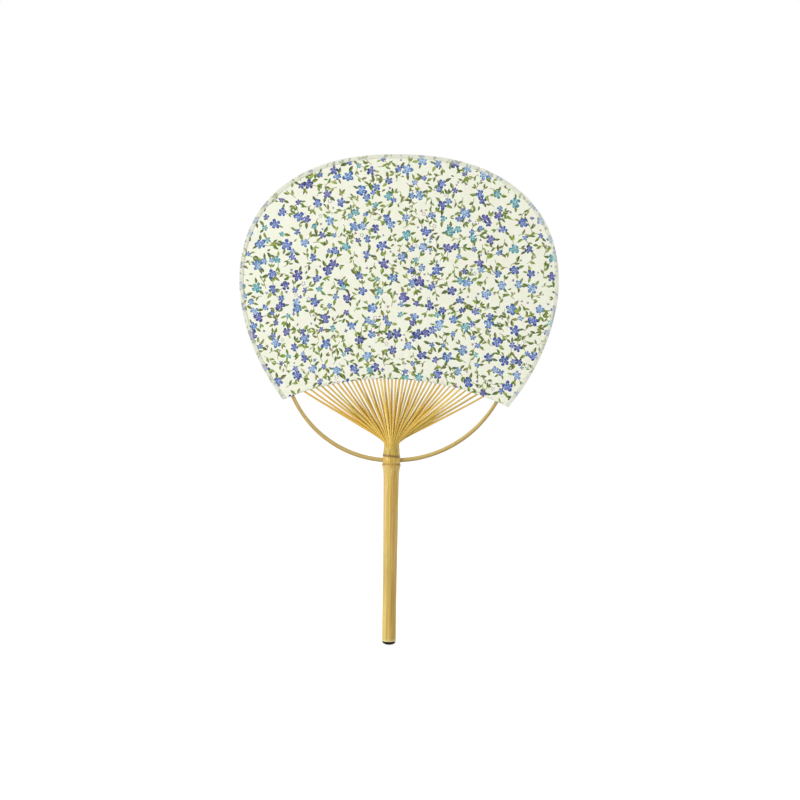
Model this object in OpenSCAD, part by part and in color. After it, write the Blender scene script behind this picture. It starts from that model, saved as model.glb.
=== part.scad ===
// Round-handled bamboo fan: one culm split into a rib lattice, a bow through its
// node, a woven thread, and a cloth and a paper sheet pasted over the ribs.
// Millimetres. +Z runs up the handle, the printed face looks towards -Y, and the
// origin is the centre of the round grip. Heights in the names below (_h) are
// measured from the lowest point of the butt.

/* [Handle] */
// Radius of the round grip
grip_r = 5.45; // [4.5:0.05:6.5]
// Length of the truly round stretch of the grip
grip_len = 46; // [20:1:70]
// Height of the rounded edge at the cut end of the culm
butt_round = 2.2; // [1:0.1:4]
// How far the rounded edge draws in at the cut end
butt_draw = 0.55; // [0.2:0.05:1.5]
// Length of the culm from its cut end to its lower node ring
shaft_len = 137.6; // [110:0.5:180]
// Radius of the culm where the flare under the node starts
shaft_r = 5.9; // [5:0.05:7]
// Length of the flare under the node
flare_len = 13.5; // [8:0.5:20]
// Radius of the hollow inside the handle
bore_r = 3.2; // [2:0.1:3.8]

/* [Node] */
// Radius at the crest of the lower node ring
ring_r = 7.4; // [6.6:0.1:8.5]
// Radius of the swelling between the two rings
band_r = 7.15; // [6.6:0.05:8]
// Distance between the two rings
band_len = 6.6; // [6:0.1:9]
// Radius at the crest of the upper ring, the sheath scar
scar_r = 6.85; // [6.5:0.05:8]
// Tilt of the sheath scar, down to the right
scar_tilt = 5; // [0:0.5:8]
// Height of the lip that the sheath scar leaves
scar_len = 0.9; // [0.6:0.1:1.2]
// Depth of the groove above the lower ring, and of the seat that the scar stands on
groove_depth = 0.4; // [0.2:0.05:0.6]
// Height of the groove above the lower ring
groove_len = 0.7; // [0.4:0.1:1.2]
// Solid wood under the bow hole
floor_t = 2.5; // [1.5:0.1:5]
// Solid wood over the bow hole
roof_t = 2; // [1:0.1:4]

/* [Neck and ribs] */
// Length of the neck from the sheath scar to where the splits end
neck_len = 11; // [8:0.5:20]
// Smallest radius of the neck
neck_r = 5.85; // [5:0.05:6.5]
// Thickness of the culm wall in the neck
neck_wall = 1.5; // [1:0.1:2]
// Number of ribs split out of the culm
rib_count = 40; // [24:2:48]
// Angle of the outer left rib, as a share of the angle to the left tip of the face
fan_share_left = 0.856; // [0.7:0.002:0.9]
// Angle of the outer right rib, as a share of the angle to the right tip
fan_share_right = 0.846; // [0.7:0.002:0.9]
// Width of a rib at its root
rib_root_w = 0.76; // [0.5:0.02:0.8]
// Width of a rib at the woven line
rib_w = 1; // [0.7:0.05:1.3]
// Width of a rib at the rim
rib_tip_w = 0.7; // [0.5:0.05:1]
// Thickness of a rib
rib_t = 0.7; // [0.5:0.05:0.9]
// Depth to which a rib root runs into the neck
rib_root_depth = 1.5; // [0.8:0.1:3]
// Width of the splits left in the neck between the ribs
split_w = 0.12; // [0.08:0.02:0.2]
// Depth of those splits below the top of the neck
split_len = 5; // [3:0.5:8]

/* [Bow] */
// Radius of the bow at the handle
bow_r = 1.65; // [1.2:0.05:2]
// Half width of the bow at its ends
bow_end_r = 1.35; // [1:0.05:1.7]
// Height of the bow over the lower node ring
bow_up = 3.4; // [3:0.1:3.5]
// Radial clearance of the bow in its hole, which also takes its bend
bow_hole_clear = 0.35; // [0.3:0.05:0.6]
// Half length of the straight middle of the bow
bow_flat = 1.5; // [0.5:0.5:4]
// Place of each lashing, as a share of the way from the outer rib to the tip
lash_share = 0.53; // [0.45:0.01:0.6]
// Length of the bow past its lashing
bow_tail = 5; // [3:0.5:6]
// Thickness of the shaved ends of the bow
tongue_t = 0.7; // [0.5:0.05:0.9]
// Length over which each end is shaved down
shave_len = 12; // [6:1:20]
// How far below the sheets the ribs are level and the bow is fully shaved
entry_clear = 1.5; // [0.5:0.1:3]

/* [Face] */
// Length of bare ribs between the neck and the sheets, on the edge's crown
bare_len = 48.9; // [35:0.1:70]
// Height of the widest line of the face over the crown of its lower edge
face_rise = 73.9; // [55:0.1:95]
// Offset of the face's middle from the handle's axis, to the right
face_x = 3.9; // [-6:0.1:6]
// Half of the width of the face
face_half_w = 123.6; // [105:0.1:140]
// Height of the face over its widest line
face_top = 100; // [85:0.1:120]
// Depth of the full oval under its widest line
face_bottom = 143.7; // [130:0.1:160]
// Fullness of the upper oval, where 2 is an ellipse
top_power = 2.3; // [2:0.02:2.6]
// Fullness of the lower oval
bottom_power = 1.77; // [1.6:0.01:2]
// Offset of the lower edge's crown from the handle's axis
edge_x = -3; // [-8:0.5:4]
// Radius of the lower edge to the left of its crown
edge_r_left = 203; // [170:1:260]
// Radius of the lower edge to the right of its crown
edge_r_right = 220; // [170:1:260]
// Thickness of the printed cotton sheet
cloth_t = 0.3; // [0.2:0.05:0.4]
// Thickness of the paper sheet on the back
paper_t = 0.25; // [0.15:0.05:0.35]
// Height of the ridge that each rib raises in both sheets
ridge_t = 0.12; // [0.06:0.02:0.2]
// Width of those ridges on top
ridge_w = 0.7; // [0.4:0.1:1]
// Width over which each side of a ridge falls to the sheet
ridge_slope = 0.4; // [0.2:0.1:0.6]
// Distance of the ends of the ridges from the rim tape
ridge_gap = 0.4; // [0.2:0.1:2]

/* [Woven line] */
// Distance of the woven line over the lower edge of the sheets
weave_inset = 3.3; // [2.5:0.1:5]
// Thickness of the flattened thread
thread_t = 0.2; // [0.14:0.02:0.24]
// Width of the flattened thread
thread_w = 0.6; // [0.4:0.05:0.8]
// Length of each lashing along the bow
lash_len = 5; // [3:0.5:6]
// Gap between the thread and what it passes
thread_gap = 0.02; // [0.01:0.005:0.03]
// Gap between a lashing and the bow's edge, which also takes the bow's bend
lash_gap = 0.06; // [0.04:0.01:0.1]

/* [Rim tape and butt] */
// Width of the rim tape on each face
tape_w = 3; // [2:0.1:5]
// Thickness of the rim tape
tape_t = 0.15; // [0.1:0.05:0.2]
// Gap between the sheets' edge and the fold of the tape
tape_gap = 0.05; // [0.02:0.01:0.1]
// Distance of the trimmed rib ends from the sheets' edge
rib_end_gap = 0.3; // [0.1:0.1:1]
// Thickness of the black lacquer on the butt
lacquer_t = 1.9; // [1:0.1:3]
// Length of the plug in the end of the handle
plug_len = 22; // [10:1:35]
// Radial clearance of the plug in the hollow
plug_gap = 0.05; // [0.02:0.01:0.1]

/* [Hidden] */

$fn = 96;
// Facets of the large arcs of the lower edge
edge_fn = 720;
// Length by which a cut runs past what it cuts
past = 1;

// Heights over the butt
cut_h = lacquer_t;
grip_start_h = cut_h + butt_round;
grip_end_h = grip_start_h + grip_len;
origin_h = grip_start_h + grip_len / 2;
ring_h = cut_h + shaft_len;
scar_h = ring_h + band_len;
seat_r = scar_r - groove_depth;
seat_half = scar_r * sin(scar_tilt) + scar_len;
neck_low_h = scar_h + seat_half;
split_h = scar_h + neck_len;
split_floor_h = split_h - split_len;
bow_h = ring_h + bow_up;
edge_h = split_h + bare_len;
face_h = edge_h + face_rise;

// Half of the gap between the two sheets: half a rib, the thread and its gaps
sheet_gap = rib_t / 2 + thread_t + 3 * thread_gap;
hole_r = bow_r + bow_hole_clear;
lacquer_r = grip_r - butt_draw;
root_r = neck_r - neck_wall / 2;
root_h = split_h - rib_root_depth;
fan_left = fan_share_left * tip_angle(-1);
fan_right = fan_share_right * tip_angle(1);
fan_step = (fan_left + fan_right) / (rib_count - 1);
// Length to which ribs and ridges are drawn before the rim trims them
untrimmed = 2 * (face_top + face_half_w);

BAMBOO = [0.84, 0.71, 0.42];
THREAD = [0.93, 0.91, 0.84];

// Arcs that more than one piece follows: x, h and radius
function edge_arc(right, inset) = let (r = right ? edge_r_right : edge_r_left)
    [edge_x, edge_h - r, r + inset];

// Height of such an arc at x
function arc_h(arc, x) = arc[1] + sqrt(pow(arc[2], 2) - pow(x - arc[0], 2));

// Tips of the face, where the oval meets such an arc: each try starts from the last one
function tip_x(side, tries = 30) = let (
        x = tries == 0 ? face_x + side * face_half_w / 2 : tip_x(side, tries - 1),
        low = (face_h - arc_h(edge_arc(side > 0, 0), x)) / face_bottom)
    face_x + side * face_half_w * pow(1 - pow(low, bottom_power), 1 / bottom_power);
function tip_angle(side) = let (x = tip_x(side))
    atan2(abs(x), arc_h(edge_arc(side > 0, 0), x) - scar_h);

// Distance from a point to such an arc, along a heading in the plane of the face
function reach(from, heading, arc) = let (
        dx = from[0] - arc[0], dh = from[2] - arc[1],
        b = -(dx * heading[0] + dh * heading[2]))
    b + sqrt(b * b - (dx * dx + dh * dh - pow(arc[2], 2)));

// Ribs: each leaves the ring of the neck, comes into the plane of the face just below
// the sheets and runs on in that plane, over or under the thread, to the rim
function rib_side(i) = i % 2 == 0 ? -1 : 1;
function rib_turn(i) = -90 + 180 * (i + 0.5) / rib_count;
function rib_root(i) = [root_r * sin(rib_turn(i)), rib_side(i) * root_r * cos(rib_turn(i)), root_h];
function rib_entry(i) = let (
        angle = i * fan_step - fan_left,
        heading = [sin(angle), 0, cos(angle)],
        start = [0, 0, scar_h])
    start + heading * reach(start, heading, edge_arc(angle > 0, -entry_clear));
function rib_heading(i) = let (run = rib_entry(i) - [rib_root(i)[0], 0, root_h]) run / norm(run);
function weave_point(i) = let (start = rib_entry(i), heading = rib_heading(i))
    start + heading * reach(start, heading, edge_arc(heading[0] > 0, weave_inset));

// Outer radius of the neck at a height, waisted towards the splits
function neck_radius(h) = let (s = (split_h - h) / (split_h - neck_low_h))
    neck_r + (seat_r - neck_r) * pow(s, 2);

// Bow: each half is one arc, level at the handle and through its lashing
function lash_point(side) = let (
        rib_x = weave_point(side < 0 ? 0 : rib_count - 1)[0],
        x = rib_x + lash_share * (tip_x(side) - rib_x))
    [x, 0, arc_h(edge_arc(side > 0, weave_inset), x)];
function bow_reach(side) = abs(lash_point(side)[0]) - bow_flat;
function bow_arc_r(side) = let (rise = lash_point(side)[2] - bow_h)
    (pow(bow_reach(side), 2) + pow(rise, 2)) / (2 * rise);
function lash_angle(side) = atan2(bow_reach(side), bow_arc_r(side) - (lash_point(side)[2] - bow_h));
function bow_end_angle(side) = lash_angle(side) + bow_tail / bow_arc_r(side) * 180 / PI;
function bow_point(side, angle) = let (r = bow_arc_r(side))
    [side * (bow_flat + r * sin(angle)), 0, bow_h + r * (1 - cos(angle))];
function bow_inward(side, angle) = [-side * sin(angle), 0, cos(angle)];

// Solid between two depths, from an outline drawn in the plane of the face
module slab(y0, y1) {
    translate([0, y1, 0]) rotate([90, 0, 0]) linear_extrude(height = y1 - y0) children();
}

// Moves a piece drawn at its height over the butt to its place about the origin
module on_grip() {
    translate([0, 0, -origin_h]) children();
}

// Closed tube through rings of points that all have the same count
module tube(rings) {
    sides = len(rings[0]);
    last = len(rings) - 1;
    polyhedron(
        points = [for (ring = rings) each ring],
        faces = concat(
            [[for (k = [sides - 1:-1:0]) k]],
            [[for (k = [0:sides - 1]) last * sides + k]],
            [for (i = [0:last - 1], k = [0:sides - 1], half = [0, 1]) let (
                    a = i * sides + k, b = i * sides + (k + 1) % sides,
                    c = b + sides, d = a + sides)
                half == 0 ? [a, b, c] : [a, c, d]]));
}

// Outline of the face

module face_oval(grow) {
    step = 3;
    function along(v, power) = sign(v) * pow(abs(v), 2 / power);
    polygon([for (t = [0:step:360 - step]) let (
            top = t < 180, power = top ? top_power : bottom_power,
            rise = (top ? face_top : face_bottom) + grow)
        [face_x + (face_half_w + grow) * along(cos(t), power), face_h + rise * along(sin(t), power)]]);
}

module lower_cut(inset) {
    for (right = [false, true]) {
        arc = edge_arc(right, inset);
        intersection() {
            translate([arc[0], arc[1]]) circle(r = arc[2], $fn = edge_fn);
            translate([right ? edge_x : edge_x - arc[2], arc[1]]) square([arc[2], arc[2] + past]);
        }
    }
}

module face_outline(grow) {
    difference() {
        face_oval(grow);
        lower_cut(0);
    }
}

// Culm: handle, node, neck and ribs, all one piece of bamboo

module culm_blank() {
    steps = 8;
    rounded_end = [for (i = [0:steps]) let (a = 90 * i / steps)
        [grip_r - butt_draw * (1 - sin(a)), grip_start_h - butt_round * cos(a)]];
    flare = [for (i = [0:steps]) let (s = i / steps)
        [shaft_r + (ring_r - shaft_r) * pow(s, 3), ring_h - flare_len * (1 - s)]];
    band_low = ring_h + groove_len;
    band_high = scar_h - seat_half;
    band_low_r = band_r - groove_depth;
    band = [for (i = [0:steps]) let (s = i / steps)
        [band_low_r + groove_depth * sin(180 * s) - (band_low_r - seat_r) * pow(s, 2),
         band_low + (band_high - band_low) * s]];
    neck = [for (i = [0:steps]) let (h = neck_low_h + (split_floor_h - neck_low_h) * i / steps)
        [neck_radius(h), h]];
    rotate_extrude()
        polygon(concat([[0, cut_h]], rounded_end, [[grip_r, grip_end_h]], flare, band, neck,
                       [[0, split_floor_h]]));
}

// Top of the neck, where the culm wall is split between one rib and the next
module neck_crown() {
    steps = 4;
    pitch = 360 / rib_count;
    inner_r = neck_r - neck_wall;
    difference() {
        rotate_extrude()
            polygon(concat([[inner_r, split_h], [inner_r, split_floor_h]],
                [for (i = [0:steps]) let (h = split_floor_h + split_len * i / steps) [neck_radius(h), h]]));
        for (i = [0:rib_count / 2 - 1]) rotate([0, 0, (i + 0.75) * pitch])
            translate([-ring_r, -split_w / 2, split_floor_h]) cube([2 * ring_r, split_w, split_len + past]);
    }
}

// Scar of the leaf sheath, a lip that stands a little askew on its seat
module sheath_scar() {
    edge = groove_depth / 3;
    translate([0, 0, scar_h]) rotate([0, scar_tilt, 0]) rotate_extrude()
        polygon([[root_r, -scar_len / 2], [scar_r - edge, -scar_len / 2], [scar_r, 0],
                 [scar_r - edge, scar_len / 2], [root_r, scar_len / 2]]);
}

module culm_hollows() {
    floor_h = bow_h - hole_r - floor_t;
    roof_h = bow_h + hole_r + roof_t;
    translate([0, 0, cut_h - past]) cylinder(h = floor_h - cut_h + past, r = bore_r);
    translate([0, 0, roof_h]) cylinder(h = split_h - roof_h, r = neck_r - neck_wall);
    translate([-ring_r - past, 0, bow_h]) rotate([0, 90, 0]) cylinder(h = 2 * (ring_r + past), r = hole_r);
}

// Flat bar from one point to another, its width in the plane of the face
module rib_bar(from, to, w_from, w_to) {
    run = to - from;
    flat_run = norm([run[0], run[2]]);
    length = norm(run);
    translate(from) rotate([0, atan2(run[0], run[2]), 0]) rotate([atan2(-run[1], flat_run), 0, 0])
        slab(-rib_t / 2, rib_t / 2)
            polygon([[-w_from / 2, 0], [w_from / 2, 0], [w_to / 2, length], [-w_to / 2, length]]);
}

// The part of a rib in the plane of the face, drawn long and trimmed at the rim
module rib_covered(i) {
    rib_bar(rib_entry(i) - rib_heading(i) * rib_t, rib_entry(i) + rib_heading(i) * untrimmed,
            rib_w, rib_tip_w);
}

module split_culm() {
    color(BAMBOO) on_grip() union() {
        difference() {
            union() {
                culm_blank();
                sheath_scar();
            }
            culm_hollows();
        }
        neck_crown();
        for (i = [0:rib_count - 1]) rib_bar(rib_root(i), rib_entry(i), rib_root_w, rib_w);
        intersection() {
            for (i = [0:rib_count - 1]) rib_covered(i);
            slab(-rib_t, rib_t) face_oval(-rib_end_gap);
        }
    }
}

// Bow: a round bamboo rod, bent through the node and shaved flat at its ends

module bow() {
    sides = 12;
    steps = 24;
    tongue_len = bow_tail + weave_inset + entry_clear;
    function ring(side, s) = let (
            angle = s * bow_end_angle(side),
            from_end = (1 - s) * bow_end_angle(side) * PI / 180 * bow_arc_r(side),
            to_lashing = max(0, (from_end - bow_tail - lash_len / 2) / (bow_reach(side) - lash_len / 2)),
            half_w = bow_end_r + (bow_r - bow_end_r) * min(1, to_lashing),
            shaved = max(0, min(1, (from_end - tongue_len) / shave_len)),
            half_d = tongue_t / 2 + (half_w - tongue_t / 2) * shaved)
        [for (k = [0:sides - 1]) let (a = 360 * (k + 0.5) / sides)
            bow_point(side, angle) + half_w * cos(a) * bow_inward(side, angle) + half_d * sin(a) * [0, 1, 0]];
    color(BAMBOO) on_grip()
        tube(concat([for (i = [steps:-1:0]) ring(-1, i / steps)], [for (i = [0:steps]) ring(1, i / steps)]));
}

// Thread: one strand, in front of one rib and behind the next, tied off at the bow

module weave_thread() {
    over = rib_t / 2 + thread_gap + thread_t / 2;
    ease = rib_w / 2 + thread_w / 2;
    to_lashing = bow_end_r + lash_gap + thread_t + thread_gap;
    function section(p, dir) = let (up = [-dir[2], 0, dir[0]] * thread_w / 2, out = [0, thread_t / 2, 0])
        [p - up - out, p - up + out, p + up + out, p + up - out];
    function tie(side) = let (inward = bow_inward(side, lash_angle(side)))
        section(lash_point(side) + inward * to_lashing, -side * inward);
    function crossing(i, end) = let (dir = [rib_heading(i)[2], 0, -rib_heading(i)[0]])
        section(weave_point(i) + dir * end * ease + [0, rib_side(i) * over, 0], dir);
    color(THREAD) on_grip()
        tube([tie(-1), for (i = [0:rib_count - 1], end = [-1, 1]) crossing(i, end), tie(1)]);
}

// Lashing: thread wound round the shaved end of the bow where the woven line meets it
module lashing(side) {
    hole = [2 * (bow_end_r + lash_gap), tongue_t + 2 * thread_gap];
    color(THREAD) on_grip() translate(lash_point(side)) rotate([0, side * (90 - lash_angle(side)), 0])
        difference() {
            cube([hole[0] + 2 * thread_t, hole[1] + 2 * thread_t, lash_len], center = true);
            cube([hole[0], hole[1], 2 * lash_len], center = true);
        }
}

module bow_lashing_left() {
    lashing(-1);
}

module bow_lashing_right() {
    lashing(1);
}

// Sheets, with a ridge over each rib, and rim tape

// Ridges that stand on the outside of a sheet of thickness t, which faces side
module rib_ridges(side, t) {
    top = sheet_gap + t + ridge_t;
    foot = sheet_gap + t / 2;
    slope = ridge_slope * (1 + t / 2 / ridge_t);
    for (i = [0:rib_count - 1])
        translate(rib_entry(i)) rotate([0, atan2(rib_heading(i)[0], rib_heading(i)[2]), 0])
            linear_extrude(height = untrimmed)
                polygon([[-ridge_w / 2 - slope, side * foot], [-ridge_w / 2, side * top],
                         [ridge_w / 2, side * top], [ridge_w / 2 + slope, side * foot]]);
}

module sheet(side, t) {
    inner = min(side * sheet_gap, side * (sheet_gap + t));
    outer = sheet_gap + t + ridge_t + past;
    on_grip() intersection() {
        union() {
            slab(inner, inner + t) face_oval(past);
            intersection() {
                rib_ridges(side, t);
                slab(-outer, outer) face_oval(-tape_w - ridge_gap);
            }
        }
        slab(-outer, outer) face_outline(0);
    }
}

module front_cloth() {
    color([0.95, 0.94, 0.84]) sheet(-1, cloth_t);
}

module back_paper() {
    color([0.96, 0.94, 0.88]) sheet(1, paper_t);
}

module rim_tape() {
    front = -sheet_gap - cloth_t;
    back = sheet_gap + paper_t;
    color([0.93, 0.92, 0.83]) on_grip() difference() {
        slab(front - tape_t, back + tape_t) face_outline(tape_gap + tape_t);
        slab(front, back) face_oval(tape_gap);
        slab(front - past, back + past) face_oval(-tape_w);
    }
}

// Butt: a plug closes the hollow and black lacquer seals the end

module butt_plug() {
    color([0.72, 0.6, 0.42]) on_grip() translate([0, 0, cut_h]) cylinder(h = plug_len, r = bore_r - plug_gap);
}

module butt_lacquer() {
    steps = 8;
    color([0.06, 0.05, 0.05]) on_grip() rotate_extrude()
        polygon(concat([[0, cut_h]], [for (i = [0:steps]) let (a = 90 * i / steps)
            [lacquer_r * cos(a), lacquer_t * (1 - sin(a))]]));
}

split_culm();
bow();
weave_thread();
bow_lashing_left();
bow_lashing_right();
front_cloth();
back_paper();
rim_tape();
butt_plug();
butt_lacquer();
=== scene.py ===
import math
import random
from math import atan2, copysign, cos, pi, radians, sin, sqrt, tau
from random import choice, uniform

import bmesh
import bpy
from mathutils import Matrix, Vector, noise
from mathutils.bvhtree import BVHTree
from mathutils.geometry import delaunay_2d_cdt


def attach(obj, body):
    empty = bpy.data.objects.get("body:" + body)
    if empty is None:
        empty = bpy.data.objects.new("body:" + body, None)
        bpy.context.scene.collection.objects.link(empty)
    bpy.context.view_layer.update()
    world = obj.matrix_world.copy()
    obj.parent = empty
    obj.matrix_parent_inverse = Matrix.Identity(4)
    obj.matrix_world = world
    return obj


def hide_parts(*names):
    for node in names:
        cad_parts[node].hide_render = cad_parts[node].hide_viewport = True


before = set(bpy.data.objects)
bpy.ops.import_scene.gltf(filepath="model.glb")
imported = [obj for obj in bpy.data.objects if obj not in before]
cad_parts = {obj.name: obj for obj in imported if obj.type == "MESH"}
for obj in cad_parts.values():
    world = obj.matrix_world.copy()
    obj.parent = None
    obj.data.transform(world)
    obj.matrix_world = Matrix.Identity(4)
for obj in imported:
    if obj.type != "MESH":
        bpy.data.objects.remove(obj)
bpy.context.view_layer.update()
scene = bpy.context.scene

# Sizes in millimetres, as in the part's source. Heights are measured from the butt.
MM = 0.001
ORIGIN_H = 27.1

GRIP_R = 5.45
GRIP_START = 4.1
GRIP_END = 50.1
CUT_H = 1.9
BUTT_ROUND = 2.2
BUTT_DRAW = 0.55
SHAFT_R = 5.9
FLARE_LEN = 13.5
RING_H = 139.5
FLARE_START = RING_H - FLARE_LEN
RING_R = 7.4
GROOVE_DEPTH = 0.4
GROOVE_LEN = 0.7
BAND_R = 7.15
SCAR_H = 146.1
SCAR_R = 6.85
SCAR_TILT = 5
SCAR_SLOPE = math.tan(radians(SCAR_TILT))
SCAR_LEN = 0.9
SEAT_R = SCAR_R - GROOVE_DEPTH
NECK_R = 5.85
NECK_WALL = 1.5
SPLIT_H = 157.1
SPLIT_LEN = 5

RIB_COUNT = 40
FAN_LEFT = 54.1
FAN_RIGHT = 56.1
RIB_T = 0.7
ROOT_H = 155.6

BOW_H = 142.9
BOW_R = 1.65
BOW_END_R = 1.35
BOW_FLAT = 1.5
BOW_TAIL = 5
HOLE_R = 2.0
TONGUE_T = 0.7
SHAVE_LEN = 12
LASH_LEFT = 78.57
LASH_RIGHT = 82.47
ENTRY_CLEAR = 1.5

EDGE_X = -3
EDGE_H = 206
EDGE_R_LEFT = 203
EDGE_R_RIGHT = 220
FACE_X = 3.9
FACE_H = 279.9
FACE_HALF_W = 123.6
FACE_TOP = 100
FACE_BOTTOM = 143.7
TOP_POWER = 2.3
BOTTOM_POWER = 1.77
CLOTH_T = 0.3
PAPER_T = 0.25
SHEET_GAP = 0.61
WEAVE_INSET = 3.3
RIDGE_T = 0.12
RIDGE_HALF_W = 0.85
TAPE_W = 3
TAPE_T = 0.15
TAPE_GAP = 0.05

# Of the looks alone: the culm's slight oval, the dimple round the bow, where the neck sinks under the
# ribs, how full the lacquer's bowl is and how far it stands out over the bamboo
CULM_OVAL = 0.008
HOLE_ROUND = 0.35
HOLE_DEPTH = 1.5
CLEFT_H = SPLIT_H - SPLIT_LEN - 1.5
CLEFT_DEPTH = 0.22
BUTT_FULL = 2.3
BUTT_OVER = 0.07

# Points round the pieces and along them
CULM_SIDES = 192
BUTT_SIDES, BUTT_STEPS = 96, 25
BOW_SIDES, BOW_STEPS = 20, 220
TAPE_STEPS = 900

# Steps between the culm's rings of points, each up to a height
CULM_STEPS = [(GRIP_START + 1, 0.2), (FLARE_START, 2.2)]
CULM_STEPS += [(RING_H - 2, 0.7), (SCAR_H + 3, 0.14), (SPLIT_H, 0.4)]

# Points of a rib on the neck, in the bare fan and between the sheets, its squarish section and how
# far it stops short of the rim
NECK_POINTS, BARE_POINTS, SHEET_POINTS = 5, 14, 8
RIB_SIDES = 8
RIB_CORNER = 0.4
RIB_SHORT = 0.6

# Width of a rib at distances along it: narrow on the neck, widest in the bare fan
RIB_WIDTHS = [(0, 0.9), (5, 0.9), (13, 1.2), (23, 1.6), (31, 1.74), (38, 1.74)]
RIB_WIDTHS += [(45, 1.68), (52, 1.58), (60, 1.42), (250, 0.85)]
RIB_TONES = "EAC662 E8C056 E0BC58 D8B858 CCB256 EECE6E E8B84E D6BA5A E8C664 DEB654".split()

# Points along the oval and along a rib's ridge, a height just under the sheets, where their hidden
# faces lie in the map for baking, and the colour of cloth without print
OVAL_STEPS, RIDGE_STEPS = 560, 12
LOWEST = 184
HIDDEN_SCALE, HIDDEN_START = 0.24, 0.8
BLANK = (0.9, 0.9, 0.8, 0.0)

random.seed(11)


# Places and shapes that several pieces share


def at(x, y, h):
    return Vector((x, y, h - ORIGIN_H)) * MM


def smooth(t):
    t = max(0.0, min(1.0, t))
    return t * t * (3 - 2 * t)


def mix(a, b, t):
    return a + (b - a) * t


def wander(x, y, z=0.0):
    """Soft noise from -1 to 1."""
    return noise.noise(Vector((x, y, z)))


def srgb(code):
    """The linear colour of a hex code."""
    parts = [int(code[i : i + 2], 16) / 255 for i in (0, 2, 4)]
    return Vector([c / 12.92 if c <= 0.04045 else ((c + 0.055) / 1.055) ** 2.4 for c in parts])


def edge_arc(right, inset=0.0):
    r = EDGE_R_RIGHT if right else EDGE_R_LEFT
    return EDGE_X, EDGE_H - r, r + inset


def arc_height(arc, x):
    return arc[1] + sqrt(arc[2] ** 2 - (x - arc[0]) ** 2)


def reach(start, heading, arc):
    """Distance from a point to an arc along a heading, all of them x and h."""
    away = start - Vector(arc[:2])
    b = -away.dot(heading)
    return b + sqrt(b * b - away.length_squared + arc[2] ** 2)


def oval_point(turn, grow=0.0):
    """A point of the face's oval, as x and h, at a turn in degrees."""
    c, s = cos(radians(turn)), sin(radians(turn))
    power = TOP_POWER if s >= 0 else BOTTOM_POWER
    depth = (FACE_TOP if s >= 0 else FACE_BOTTOM) + grow
    x = copysign(abs(c) ** (2 / power), c)
    h = copysign(abs(s) ** (2 / power), s)
    return Vector((FACE_X + (FACE_HALF_W + grow) * x, FACE_H + depth * h))


def oval_reach(x, h, grow=0.0):
    """Less than 1 inside the oval and more outside."""
    power = TOP_POWER if h >= FACE_H else BOTTOM_POWER
    depth = (FACE_TOP if h >= FACE_H else FACE_BOTTOM) + grow
    return (abs(x - FACE_X) / (FACE_HALF_W + grow)) ** power + (abs(h - FACE_H) / depth) ** power


def last_inside(near, far, inside):
    """The furthest number from near towards far that is still inside."""
    for _ in range(40):
        middle = (near + far) / 2
        near, far = (middle, far) if inside(middle) else (near, middle)
    return near


def tip_turn(right, grow=0.0):
    """The turn at which the oval meets the lower edge."""

    def above_edge(turn):
        x, h = oval_point(turn, grow)
        return h > arc_height(edge_arc(right), x)

    return last_inside(*((0.0, -80.0) if right else (180.0, 260.0)), above_edge)


# Ribs, as in the source: root on the neck, entry just below the sheets, heading in their plane


def rib_turn(i):
    return radians(-90 + 180 * (i + 0.5) / RIB_COUNT)


def rib_line(i):
    """Where a rib enters the sheets, as x and h, and its heading between them."""
    angle = radians(-FAN_LEFT + i * (FAN_LEFT + FAN_RIGHT) / (RIB_COUNT - 1))
    start, heading = Vector((0, SCAR_H)), Vector((sin(angle), cos(angle)))
    entry = start + heading * reach(start, heading, edge_arc(angle > 0, -ENTRY_CLEAR))
    root = Vector(((NECK_R - NECK_WALL / 2) * sin(rib_turn(i)), ROOT_H))
    return entry, (entry - root).normalized()


RIB_LINES = [rib_line(i) for i in range(RIB_COUNT)]


def rib_end(i, grow):
    """Where the middle line of a rib reaches the oval."""
    start, heading = RIB_LINES[i]
    return start + heading * last_inside(0.0, 260.0, lambda s: oval_reach(*(start + heading * s), grow) < 1)


def rib_offset(x, h):
    """Distance from a point of a sheet to the middle line of the nearest rib."""
    p = Vector((x, h))
    angle = math.degrees(atan2(x, h - SCAR_H))
    guess = round((angle + FAN_LEFT) / (FAN_LEFT + FAN_RIGHT) * (RIB_COUNT - 1))
    best = 99.0
    for i in range(max(0, guess - 3), min(RIB_COUNT, guess + 4)):
        start, heading = RIB_LINES[i]
        away = p - start
        best = min(best, abs(away.x * heading.y - away.y * heading.x))
    return best


def rim_fade(x, h):
    """1 over the face and 0 from the rim tape's inner edge outwards."""
    return smooth((1 - oval_reach(x, h, -TAPE_W)) / 0.09)


def sheet_relief(x, h, ridge_t):
    """How far a sheet stands out over its flat place: a ridge on each rib and slight waves."""
    ridge = smooth(1 - rib_offset(x, h) / RIDGE_HALF_W)
    wave = 0.1 * wander(x * 0.045, h * 0.045, 3.0) + 0.03 * wander(x * 0.16, h * 0.16, 8.0)
    return rim_fade(x, h) * (ridge_t * ridge + wave)


# Mesh helpers


def put(name, data):
    """A new object in the scene."""
    made = bpy.data.objects.new(name, data)
    scene.collection.objects.link(made)
    return made


def finish_mesh(bm, name, slot, material, *replaced):
    """Closes a bmesh into a piece that rides on the fan's one body."""
    bmesh.ops.recalc_face_normals(bm, faces=bm.faces)
    mesh = bpy.data.meshes.new(name)
    bm.to_mesh(mesh)
    bm.free()
    place_mesh(mesh, name, slot, material, *replaced)


def place_mesh(mesh, name, slot, material, *replaced):
    mesh.polygons.foreach_set("use_smooth", [True] * len(mesh.polygons))
    mesh.materials.append(material)
    piece = put(name, mesh)
    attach(piece, "root")
    if replaced:
        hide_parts(*replaced)
    return piece


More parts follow.
